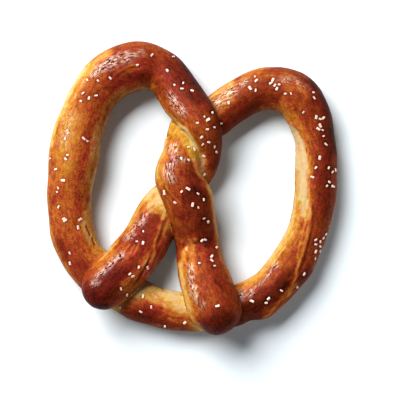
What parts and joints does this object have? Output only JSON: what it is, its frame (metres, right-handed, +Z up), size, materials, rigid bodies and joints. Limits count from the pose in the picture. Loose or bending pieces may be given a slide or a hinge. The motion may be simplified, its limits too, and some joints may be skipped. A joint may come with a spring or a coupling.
{
  "type": "soft pretzel",
  "caption": "Hand-twisted soft pretzel: a dough rope bent into a left and a right loop, twisted in the middle, its round ends laid over the base, with a glossy brown crust and coarse salt.",
  "frame": {"origin": "on the flat sole, under the middle of the pretzel's outline seen from above", "axes": "+Z up out of the baking sheet, +Y from the base with the rope's ends towards the tops of the loops, +X from the large left loop towards the right loop"},
  "size_m": [0.1517, 0.1523, 0.0286],
  "materials": {
    "crust": "baked lye crust, satin to glossy, dark red-brown on top, orange and golden at the sides, cream where it split",
    "salt": "white, slightly translucent coarse salt grains"
  },
  "bodies": {
    "root": {"pretzel": "crust"}
  },
  "joints": []
}
